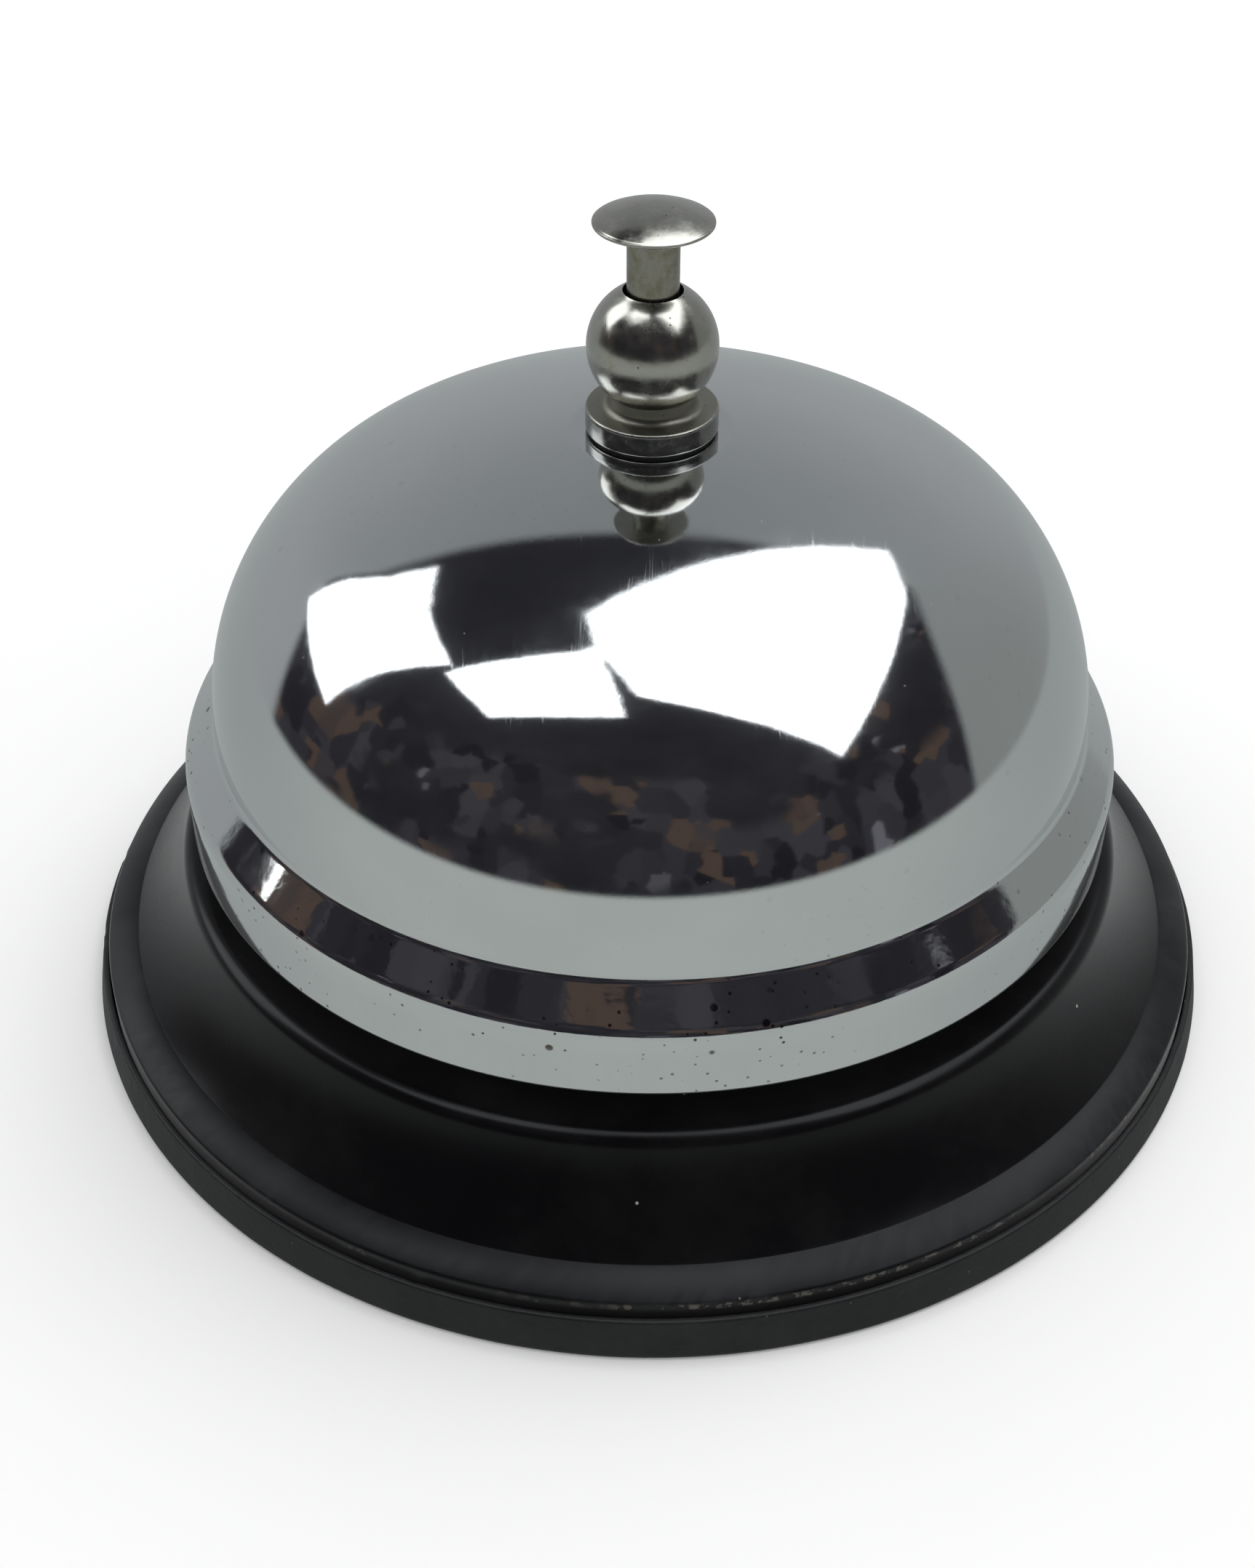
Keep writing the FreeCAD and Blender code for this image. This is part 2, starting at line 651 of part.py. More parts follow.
finial_nut = turned_part("finial_nut", [
    ("finial_socket_radius", COLLAR_BOTTOM),
    ("collar_radius", COLLAR_BOTTOM),
    ("collar_radius", COLLAR_TOP),
    ("neck_radius + neck_bend", COLLAR_TOP, "neck_bend", "right"),
    ("neck_radius", COLLAR_TOP + " + neck_bend"),
    ("neck_radius", "neck_top_height", "axis", "left"),
    ("ball_radius", "ball_centre_height", "axis", "left"),
    ("finial_bore_radius", "finial_mouth_height"),
    ("finial_bore_radius", "finial_socket_height"),
    ("finial_socket_radius", "finial_socket_height"),
])
for height, name in ((COLLAR_BOTTOM, "collar_foot"), (COLLAR_TOP, "collar_brow")):
    round_edges(finial_nut, "collar_edge", ring_edge_at("collar_radius", height), name)


# Plunger: rod, cap and snap ring, with the spring that lifts them.

CLIP_TOP = "post_bottom_height - clip_gap"
CLIP_BOTTOM = CLIP_TOP + " - clip_thickness"
CAP_UNDERSIDE = "button_rim_height - button_rim_edge + button_under_hollow"
SPIGOT_TOP = CAP_UNDERSIDE + " + button_spigot_depth"

turned_part("plunger_rod", [
    ("0", "rod_tip_height", "axis", "left"),
    ("rod_thin_radius", "rod_tip_height + rod_thin_radius"),
    ("rod_thin_radius", CLIP_BOTTOM),
    ("rod_groove_radius", CLIP_BOTTOM),
    ("rod_groove_radius", CLIP_TOP),
    ("rod_thin_radius", CLIP_TOP),
    ("rod_thin_radius", "rod_shoulder_height"),
    ("rod_radius", "rod_shoulder_height"),
    ("rod_radius", CAP_UNDERSIDE),
    ("rod_spigot_radius", CAP_UNDERSIDE),
    ("rod_spigot_radius", SPIGOT_TOP),
    ("0", SPIGOT_TOP),
])

turned_part("button_cap", [
    ("0", SPIGOT_TOP),
    ("rod_spigot_radius", SPIGOT_TOP),
    ("rod_spigot_radius", CAP_UNDERSIDE),
    ("rod_radius", CAP_UNDERSIDE),
    ("button_radius", "button_rim_height - button_rim_edge"),
    ("button_radius", "button_rim_height", "axis", "left"),
    ("0", "button_rim_height + button_crown"),
])

rod_clip = turned_part("rod_clip", [
    ("rod_groove_radius", CLIP_BOTTOM),
    ("clip_radius", CLIP_BOTTOM),
    ("clip_radius", CLIP_TOP),
    ("rod_groove_radius", CLIP_TOP),
])
cut_through(rod_clip, closed_sketch(rod_clip, "clip_mouth_outline", "XY_Plane", [
    ("0", "- clip_opening / 2"),
    ("clip_radius + 1", "- clip_opening / 2"),
    ("clip_radius + 1", "clip_opening / 2"),
    ("0", "clip_opening / 2"),
]), "clip_mouth")

return_spring = new_body("return_spring")
wire = circle_sketch(return_spring, "wire_section", "XZ_Plane", "spring_coil_radius", "0",
                     "spring_wire_radius")
coil = return_spring.newObject("PartDesign::AdditiveHelix", "coil")
coil.Profile = wire
coil.ReferenceAxis = (wire, ["V_Axis"])
coil.Mode = "height-turns-angle"
bind(coil, Height="rod_shoulder_height - post_ledge_height - 4 * spring_wire_radius",
     Turns="spring_turns")
stand_at(return_spring, up="post_ledge_height + 2 * spring_wire_radius")


# Hammer: everything on the lever is made in the lever's own frame, with the pivot at its origin,
# the tail along -X and the arm along +X, then tilted so that the pad meets the rod.

LEVER_PLACE = FreeCAD.Placement(
    FreeCAD.Vector(value("pivot_place"), 0, value("pivot_height")),
    FreeCAD.Rotation(FreeCAD.Vector(0, 1, 0), value("lever_tilt")))
LYING_ALONG_Y = FreeCAD.Placement(
    FreeCAD.Vector(0, 0, 0), FreeCAD.Rotation(FreeCAD.Vector(1, 0, 0), -90))


def place_on_lever(thing, across="0", up="0"):
    """Turn a part made upright so that it lies along Y at this place on the lever."""
    offset = FreeCAD.Placement(FreeCAD.Vector(value(across), 0, value(up)), FreeCAD.Rotation())
    thing.Placement = LEVER_PLACE * offset * LYING_ALONG_Y


hammer_lever = new_body("hammer_lever")
ARM_END = ("lever_arm_length", "- lever_arm_drop")
pad(hammer_lever, circle_sketch(hammer_lever, "boss_outline", "XZ_Plane", "0", "0",
                                "lever_boss_radius"), "lever_thickness", "boss")
pad(hammer_lever, closed_sketch(hammer_lever, "arm_outline", "XZ_Plane", [
    ("0", "lever_root_half_width"),
    ("0", "- lever_root_half_width"),
    ("lever_arm_length", "- lever_arm_drop - lever_end_radius"),
    ("lever_arm_length", "lever_end_radius - lever_arm_drop"),
]), "lever_thickness", "arm")
pad(hammer_lever, circle_sketch(hammer_lever, "arm_end_outline", "XZ_Plane", *ARM_END,
                                "lever_end_radius"), "lever_thickness", "arm_end")
for name, root, reach, width in (
        ("tail", "0", "lever_pad_root", "lever_thickness"),
        ("contact_pad", "lever_pad_root", "lever_pad_reach", "2 * lever_pad_half_width")):
    pad(hammer_lever, closed_sketch(hammer_lever, name + "_outline", "XZ_Plane", [
        ("- " + root, "lever_pad_thickness / 2"),
        ("- " + reach, "lever_pad_thickness / 2"),
        ("- " + reach, "- lever_pad_thickness / 2"),
        ("- " + root, "- lever_pad_thickness / 2"),
    ]), width, name)
doc.recompute()
cut_through(hammer_lever, circle_sketch(hammer_lever, "bush_hole_outline", "XZ_Plane", "0", "0",
                                        "bush_radius"), "bush_hole")
cut_through(hammer_lever, circle_sketch(hammer_lever, "striker_hole_outline", "XZ_Plane", *ARM_END,
                                        "striker_rivet_radius"), "striker_hole")
hammer_lever.Placement = LEVER_PLACE

BUSH_END = "bracket_inner_half_width - bush_gap"
hammer_bush = turned_part("hammer_bush", [
    ("bush_bore_radius", "- bracket_inner_half_width + bush_gap"),
    ("bush_radius", "- bracket_inner_half_width + bush_gap"),
    ("bush_radius", BUSH_END),
    ("bush_bore_radius", BUSH_END),
])
place_on_lever(hammer_bush)

striker = turned_part("striker", [
    ("striker_rivet_radius", "- striker_half_width"),
    ("striker_radius", "- striker_half_width"),
    ("striker_radius", "striker_half_width"),
    ("striker_rivet_radius", "striker_half_width"),
])
for height, name in (("striker_half_width", "far_edge"), ("- striker_half_width", "near_edge")):
    round_edges(striker, "striker_edge", ring_edge_at("striker_radius", height), name)
cut_through(striker, closed_sketch(striker, "slot_outline", "XZ_Plane", [
    ("- striker_radius - 1", "- lever_thickness / 2"),
    ("striker_slot_end", "- lever_thickness / 2"),
    ("striker_slot_end", "lever_thickness / 2"),
    ("- striker_radius - 1", "lever_thickness / 2"),
]), "slot")
place_on_lever(striker, *ARM_END)

striker_rivet = turned_part("striker_rivet", [
    ("0", "- striker_half_width - striker_rivet_height"),
    ("striker_rivet_head", "- striker_half_width - striker_rivet_height"),
    ("striker_rivet_head", "- striker_half_width"),
    ("striker_rivet_radius", "- striker_half_width"),
    ("striker_rivet_radius", "striker_half_width"),
    ("striker_rivet_head", "striker_half_width"),
    ("striker_rivet_head", "striker_half_width + striker_rivet_height"),
    ("0", "striker_half_width + striker_rivet_height"),
])
place_on_lever(striker_rivet, *ARM_END)

PIN_CLIP_TOP = "- bracket_inner_half_width - bracket_thickness - clip_gap"
PIN_CLIP_BOTTOM = PIN_CLIP_TOP + " - clip_thickness"
pivot_pin = turned_part("pivot_pin", [
    ("0", "- bracket_inner_half_width - bracket_thickness - pivot_overhang"),
    ("pivot_pin_radius", "- bracket_inner_half_width - bracket_thickness - pivot_overhang"),
    ("pivot_pin_radius", PIN_CLIP_BOTTOM),
    ("pivot_groove_radius", PIN_CLIP_BOTTOM),
    ("pivot_groove_radius", PIN_CLIP_TOP),
    ("pivot_pin_radius", PIN_CLIP_TOP),
    ("pivot_pin_radius", LEG_OUTSIDE),
    ("pivot_head_radius", LEG_OUTSIDE),
    ("pivot_head_radius", LEG_OUTSIDE + " + pivot_head_thickness"),
    ("0", LEG_OUTSIDE + " + pivot_head_thickness"),
])
pivot_pin_clip = turned_part("pivot_pin_clip", [
    ("pivot_groove_radius", PIN_CLIP_BOTTOM),
    ("pivot_head_radius", PIN_CLIP_BOTTOM),
    ("pivot_head_radius", PIN_CLIP_TOP),
    ("pivot_groove_radius", PIN_CLIP_TOP),
])
for thing in (pivot_pin, pivot_pin_clip):
    thing.Placement.Rotation = LYING_ALONG_Y.Rotation
    stand_at(thing, across="pivot_place", up="pivot_height")


# Check every object, then write one file per sub-part.

doc.recompute()
for item in doc.Objects:
    if "Invalid" in item.State or "Error" in item.State:
        raise RuntimeError(f"{item.Name} failed to recompute")
for node, thing in parts.items():
    if thing.Shape.isNull() or not thing.Shape.isValid():
        raise RuntimeError(f"{node} has no valid shape")
    print(f"{node}: {len(thing.Shape.Solids)} solid(s), {thing.Shape.Volume:.1f} mm3")

os.makedirs("parts", exist_ok=True)
for node, thing in parts.items():
    thing.Shape.exportStep(f"parts/{node}.step")
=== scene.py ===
import json
import math

import bpy
from mathutils import Matrix, Vector, noise


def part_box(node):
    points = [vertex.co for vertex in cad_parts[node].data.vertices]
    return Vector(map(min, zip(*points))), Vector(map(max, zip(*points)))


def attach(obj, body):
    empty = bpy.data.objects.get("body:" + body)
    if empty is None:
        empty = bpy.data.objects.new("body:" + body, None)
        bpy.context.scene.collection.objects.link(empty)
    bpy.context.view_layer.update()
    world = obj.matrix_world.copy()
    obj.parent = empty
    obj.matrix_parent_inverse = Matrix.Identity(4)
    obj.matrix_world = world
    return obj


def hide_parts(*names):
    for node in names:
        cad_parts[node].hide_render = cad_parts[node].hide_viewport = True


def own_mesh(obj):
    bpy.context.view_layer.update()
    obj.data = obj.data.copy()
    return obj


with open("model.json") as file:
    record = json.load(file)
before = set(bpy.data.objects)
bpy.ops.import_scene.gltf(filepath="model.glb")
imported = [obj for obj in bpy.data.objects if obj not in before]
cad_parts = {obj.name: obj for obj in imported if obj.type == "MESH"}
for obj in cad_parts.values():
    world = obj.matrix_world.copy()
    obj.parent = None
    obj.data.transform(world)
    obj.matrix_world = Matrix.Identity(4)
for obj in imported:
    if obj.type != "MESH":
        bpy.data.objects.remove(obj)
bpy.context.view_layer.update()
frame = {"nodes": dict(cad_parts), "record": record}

# Desk call bell. Outlines are in millimetres: the distance from the plunger's axis, then the
# height above the table. Overall sizes come from the frame, and bends are named where they are used.
MM = 0.001
TURNS = 256
# Pan: the rim's and the crest's (radius, height), the ridge's radius, and the bends between them.
RIM, CREST, RIDGE_RADIUS = (41.3, 4.2), (38.95, 5.2), 34.6
BEVEL_BEND, FLARE_BEND, RIDGE_BEND = 6.0, 15.0, 1.2


def extent(node):
    """Radius, lowest and highest height of a round CAD node, in millimetres."""
    low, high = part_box(node)
    return high.x / MM, low.z / MM, high.z / MM


# ---------------------------------------------------------------- outlines and turned pieces

def arc(centre, radius, first, last, count=24):
    """Points on an arc from one angle to another, in degrees from the outward direction."""
    angles = [math.radians(first + (last - first) * step / count) for step in range(count + 1)]
    return [(centre[0] + radius * math.cos(angle), centre[1] + radius * math.sin(angle))
            for angle in angles]


def heading(start, end):
    """Angle of the direction from start to end, in degrees."""
    return math.degrees(math.atan2(end[1] - start[1], end[0] - start[0]))


def rounded(*corners):
    """Outline through (radius, height) corners; a third number is the bend of an arc put there."""
    points = []
    for index, corner in enumerate(corners):
        if len(corner) == 2:
            points.append(corner)
            continue
        here = Vector(corner[:2])
        to_last = (Vector(corners[index - 1][:2]) - here).normalized()
        to_next = (Vector(corners[(index + 1) % len(corners)][:2]) - here).normalized()
        half = to_last.angle(to_next) / 2
        centre = here + (to_last + to_next).normalized() * corner[2] / math.sin(half)
        reach = corner[2] / math.tan(half)
        first = heading(centre, here + to_last * reach)
        turn = (heading(centre, here + to_next * reach) - first + 180) % 360 - 180
        points += arc(centre, corner[2], first, first + turn, 6)
    return points


def supported(outline):
    """The closed outline with a point near each end of its long straight stretches."""
    margin = 0.08
    points = []
    for start, end in zip(outline, outline[1:] + outline[:1]):
        start, end = Vector(start), Vector(end)
        length = (end - start).length
        if length > 1e-6:
            points.append(tuple(start))
        if length > 10 * margin:
            points.append(tuple(start.lerp(end, margin / length)))
            points.append(tuple(end.lerp(start, margin / length)))
    return points


def stand_in(name, vertices, faces, body, finish):
    """Mesh piece in place of the CAD node of that name."""
    mesh = bpy.data.meshes.new(name)
    mesh.from_pydata(vertices, [], faces)
    mesh.validate()
    mesh.shade_smooth()
    mesh.set_sharp_from_angle(angle=math.radians(40))
    mesh.materials.append(finish)
    piece = bpy.data.objects.new("made_" + name, mesh)
    bpy.context.scene.collection.objects.link(piece)
    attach(piece, body)
    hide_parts(name)
    return piece


def turned(name, outline, body, finish, turns=TURNS, wear=None):
    """Closed outline turned about the plunger's axis, in place of the CAD node of that name.

    wear(radius, height, angle) gives the worn radius and height of a point.
    """
    outline = supported(outline)
    vertices, rings = [], []
    for across, up in outline:
        on_axis = across < 1e-6
        ring = [len(vertices) + (0 if on_axis else step) for step in range(turns)]
        rings.append(ring)
        for step in range(1 if on_axis else turns):
            angle = 2 * math.pi * step / turns
            radius, height = wear(across, up, angle) if wear else (across, up)
            vertices.append((radius * MM * math.cos(angle), radius * MM * math.sin(angle), height * MM))
    faces = []
    for ring, following in zip(rings, rings[1:] + rings[:1]):
        for step in range(turns):
            onward = (step + 1) % turns
            corners = (ring[step], ring[onward], following[onward], following[step])
            face = list(dict.fromkeys(corners))
            if len(face) > 2:
                faces.append(face)
    stand_in(name, vertices, faces, body, finish)


# ---------------------------------------------------------------- shader nodes

class Shading:
    """A node tree being put together; each method adds a node and gives its output."""

    def __init__(self, tree):
        self.tree = tree

    def add(self, kind, inputs=None, **settings):
        node = self.tree.nodes.new("ShaderNode" + kind)
        for name, setting in settings.items():
            setattr(node, name, setting)
        for name, amount in (inputs or {}).items():
            self.feed(node.inputs[name], amount)
        return node

    def feed(self, socket, amount):
        if isinstance(amount, bpy.types.NodeSocket):
            self.tree.links.new(amount, socket)
        else:
            socket.default_value = amount

    def maths(self, operation, *amounts):
        return self.add("Math", dict(enumerate(amounts)), operation=operation).outputs[0]

    def vector(self, operation, *amounts):
        node = self.add("VectorMath", dict(enumerate(amounts)), operation=operation)
        return node.outputs["Value" if operation in ("DOT_PRODUCT", "LENGTH") else "Vector"]

    def step(self, amount, low, high, first=0.0, last=1.0):
        """Smooth step from first at low to last at high."""
        inputs = {"Value": amount, "From Min": low, "From Max": high, "To Min": first, "To Max": last}
        return self.add("MapRange", inputs, interpolation_type="SMOOTHSTEP").outputs["Result"]

    def noise(self, place, scale, detail=2.0, rough=0.5, stretch=(1, 1, 1), turn=(0, 0, 0)):
        """Noise from 0 to 1 with scale cycles per unit of place, after a turn and a stretch."""
        mapped = place
        if stretch != (1, 1, 1) or turn != (0, 0, 0):
            inputs = {"Vector": place, "Scale": stretch, "Rotation": turn}
            mapped = self.add("Mapping", inputs, vector_type="POINT").outputs["Vector"]
        inputs = {"Vector": mapped, "Scale": scale, "Detail": detail, "Roughness": rough}
        return self.add("TexNoise", inputs).outputs["Fac"]

    def mix(self, factor, first, second):
        """Colour blend, with plain colours given as three numbers."""
        node = self.add("Mix", data_type="RGBA")
        self.feed(node.inputs["Factor"], factor)
        for socket, colour in zip((node.inputs[6], node.inputs[7]), (first, second)):
            self.feed(socket, (*colour, 1.0) if isinstance(colour, tuple) else colour)
        return node.outputs[2]

    def dots(self, place, scale, share, size):
        """Small round spots: share of the cells hold one, and size is its radius in cells."""
        cell = self.add("TexVoronoi", {"Vector": place, "Scale": scale}, feature="F1")
        chance = self.add("SeparateColor", {0: cell.outputs["Color"]}).outputs[0]
        chosen = self.maths("LESS_THAN", chance, share)
        inside = self.step(cell.outputs["Distance"], size * 0.6, size, 1.0, 0.0)
        return self.maths("MULTIPLY", chosen, inside)

    def scratches(self, place, scale, turns, share):
        """Fine hairlines in several directions; a larger share gives more of them."""
        total = None
        for turn in turns:
            lines = self.noise(place, scale, 1.0, 0.5, (1, 0.02, 0.02), turn)
            line = self.step(self.maths("ABSOLUTE", self.maths("SUBTRACT", lines, 0.5)),
                             0.0, share, 1.0, 0.0)
            gate = self.step(self.noise(place, scale * 0.02, 2.0, 0.5, (1, 1, 1), turn), 0.52, 0.6)
            line = self.maths("MULTIPLY", line, gate)
            total = line if total is None else self.maths("MAXIMUM", total, line)
        return total


class Finish(Shading):
    """A Principled material whose texture place is in millimetres on the piece."""

    def __init__(self, name, metallic=0.0):
        self.material = bpy.data.materials.new(name)
        self.material.use_nodes = True
        super().__init__(self.material.node_tree)
        self.shader = self.tree.nodes["Principled BSDF"]
        self.set("Metallic", metallic)
        here = self.add("TexCoord").outputs["Object"]
        self.place = self.vector("SCALE", here)
        self.place.node.inputs["Scale"].default_value = 1 / MM
        parts = self.add("SeparateXYZ", {0: self.place}).outputs
        self.height = parts["Z"]
        flat = self.vector("MULTIPLY", self.place, (1, 1, 0))
        self.radius = self.vector("LENGTH", flat)
        self.ring = self.add("CombineXYZ", {0: self.radius, 2: self.height}).outputs[0]
        self.spoke = self.vector("NORMALIZE", flat)
        self.bumps = None

    def set(self, name, amount):
        self.feed(self.shader.inputs[name], amount)

    def bump(self, height, depth):
        """Raise the surface by height, from 0 to 1, times depth in millimetres."""
        inputs = {"Height": height, "Distance": depth * MM, "Strength": 1.0}
        if self.bumps is not None:
            inputs["Normal"] = self.bumps
        self.bumps = self.add("Bump", inputs).outputs["Normal"]
        self.set("Normal", self.bumps)

    def between(self, low, high, soft):
        """1 where the height is between low and high, with soft edges."""
        above = self.step(self.height, low - soft, low + soft)
        below = self.step(self.height, high - soft, high + soft, 1.0, 0.0)
        return self.maths("MULTIPLY", above, below)


# ---------------------------------------------------------------- finishes

def chrome():
    """Mirror plating on the gong: faint orange peel, hairlines, haze and small rusted pits."""
    finish = Finish("bell_chrome")
    place = finish.place
    skirt_top, shoulder_foot, shoulder_top = 18.75, 18.3, 23.0
    shoulder_band = finish.between(shoulder_foot, shoulder_top, 0.8)
    skirt = finish.step(finish.height, skirt_top - 0.75, skirt_top + 0.75, 1.0, 0.0)

    smudge = finish.step(finish.noise(place, 0.16, 5.0, 0.65), 0.48, 0.72)
    hairs = finish.scratches(place, 2.6, ((0.9, 0.5, 0.3), (0.5, 1.1, 1.5), (1.3, 0.4, 2.5)), 0.008)
    rough = finish.maths("MULTIPLY_ADD", smudge, 0.04, 0.05)
    finish.set("Roughness", finish.maths("MULTIPLY_ADD", hairs, 0.06, rough))
    finish.set("Coat Weight", 0.24)
    finish.set("Coat Roughness", 0.32)

    around = finish.vector("ADD", finish.vector("MULTIPLY", finish.spoke, (30, 30, 30)),
                           finish.vector("MULTIPLY", finish.ring, (0, 0, 0.25)))
    streaks = finish.maths("MULTIPLY", finish.noise(around, 1.6, 3.0, 0.7), skirt)
    cloud = finish.noise(place, 0.06, 4.0, 0.6)
    tone = finish.mix(cloud, (0.575, 0.59, 0.595), (0.665, 0.675, 0.665))
    tone = finish.mix(finish.maths("MULTIPLY", streaks, 0.30), tone, (0.50, 0.52, 0.52))
    patches = finish.step(finish.noise(place, 0.09, 3.0, 0.6), 0.38, 0.56)
    edges = finish.maths("MAXIMUM", shoulder_band, finish.maths("MULTIPLY", skirt, 0.7))
    gate = finish.maths("MULTIPLY", finish.maths("MULTIPLY_ADD", edges, 0.92, 0.08), patches)
    fine = finish.maths("MULTIPLY", finish.dots(place, 1.5, 0.40, 0.20), gate)
    coarse = finish.maths("MULTIPLY", finish.dots(place, 0.6, 0.14, 0.20), gate)
    pits = finish.maths("MAXIMUM", fine, coarse)
    rust = finish.mix(finish.noise(place, 0.4), (0.020, 0.016, 0.014), (0.15, 0.11, 0.085))
    tone = finish.mix(pits, tone, rust)
    lint = finish.maths("MULTIPLY", finish.dots(place, 1.1, 0.16, 0.065),
                        finish.step(finish.noise(place, 0.12, 3.0), 0.48, 0.60))
    finish.set("Base Color", finish.mix(lint, tone, (0.30, 0.30, 0.32)))
    finish.set("Metallic", finish.maths("SUBTRACT", 1.0, lint))

    finish.bump(finish.noise(place, 0.10, 1.0), 0.020)
    finish.bump(finish.maths("MULTIPLY", finish.noise(place, 0.4, 3.0), shoulder_band), 0.020)
    finish.bump(finish.noise(place, 2.5, 3.0, 0.7), 0.0009)
    finish.bump(pits, -0.003)
    return finish.material


def nickel(name, satin_low, satin_high):
    """Turned and polished nickel, satin between two heights, with painted shade darkening the colour
    below them.
    """
    finish = Finish(name, metallic=1.0)
    place = finish.place
    satin = finish.between(satin_low, satin_high, 0.08)
    lines = finish.noise(finish.ring, 6.0, 3.0, 0.6)
    blur = finish.noise(place, 0.9, 4.0, 0.65)
    polish = finish.maths("MULTIPLY_ADD", finish.step(blur, 0.40, 0.7), 0.10, 0.17)
    rough = finish.maths("MULTIPLY_ADD", satin, 0.20, polish)
    finish.set("Roughness", finish.maths("MULTIPLY_ADD", lines, 0.05, rough))
    tone = finish.mix(blur, (0.34, 0.333, 0.300), (0.47, 0.46, 0.417))
    tone = finish.mix(finish.maths("MULTIPLY", satin, 0.75), tone, (0.165, 0.158, 0.122))
    # Painted shade: the collar below the satin band is given a darker colour to dim its reflections.
    below = finish.step(finish.height, satin_low - 0.1, satin_low, 0.65, 0.0)
    tone = finish.mix(below, tone, (0.185, 0.185, 0.190))
    stain = finish.step(finish.noise(place, 0.7, 5.0, 0.7), 0.60, 0.72)
    tone = finish.mix(finish.maths("MULTIPLY", stain, 0.55), tone, (0.33, 0.28, 0.20))
    specks = finish.dots(place, 2.6, 0.14, 0.20)
    finish.set("Base Color", finish.mix(specks, tone, (0.10, 0.08, 0.06)))
    hairs = finish.scratches(place, 3.0, ((0.4, 0.7, 0.7), (1.2, 0.3, 2.1)), 0.014)
    finish.bump(lines, 0.0020)
    finish.bump(finish.noise(place, 0.55, 2.0), 0.030)
    finish.bump(hairs, -0.0008)
    return finish.material


def drawn_nickel():
    """Plunger rod: nickel drawn lengthwise, worn and stained yellow-brown where it slides."""
    finish = Finish("nickel_satin", metallic=1.0)
    around = finish.vector("ADD", finish.vector("MULTIPLY", finish.spoke, (9, 9, 9)),
                           finish.vector("MULTIPLY", finish.ring, (0, 0, 0.35)))
    drawing = finish.noise(around, 2.2, 4.0, 0.7)
    finish.set("Roughness", finish.maths("MULTIPLY_ADD", drawing, 0.22, 0.16))
    stain = finish.step(finish.noise(finish.place, 0.8, 5.0, 0.7), 0.42, 0.66)
    tone = finish.mix(drawing, (0.20, 0.19, 0.16), (0.36, 0.345, 0.295))
    finish.set("Base Color", finish.mix(finish.maths("MULTIPLY", stain, 0.6), tone, (0.17, 0.14, 0.08)))
    finish.bump(drawing, 0.006)
    finish.bump(finish.noise(finish.place, 4.0, 3.0), 0.002)
    return finish.material


def plain_metal(name, dark, light, roughness, grain=0.004):
    """Plated or plain metal of a hidden part, with dull patches, fine grain and hairlines."""
    finish = Finish(name, metallic=1.0)
    patches = finish.noise(finish.place, 0.35, 5.0, 0.65)
    finish.set("Base Color", finish.mix(finish.step(patches, 0.35, 0.68), dark, light))
    finish.set("Roughness", finish.maths("MULTIPLY_ADD", patches, 0.24, roughness - 0.12))
    finish.bump(finish.noise(finish.place, 3.5, 3.0, 0.6), grain)
    finish.bump(finish.scratches(finish.place, 2.4, ((0, 0, 0.4), (0.8, 0.2, 1.9)), 0.014), -0.003)
    return finish.material


def fibre(name, dark, light):
    """Pressed fibre washer: matt, with a fibrous mottle."""
    finish = Finish(name)
    mottle = finish.noise(finish.place, 1.6, 5.0, 0.7, (1, 1, 0.2))
    finish.set("Base Color", finish.mix(mottle, dark, light))
    finish.set("Roughness", finish.maths("MULTIPLY_ADD", mottle, 0.25, 0.6))
    finish.bump(mottle, 0.02)
    return finish.material


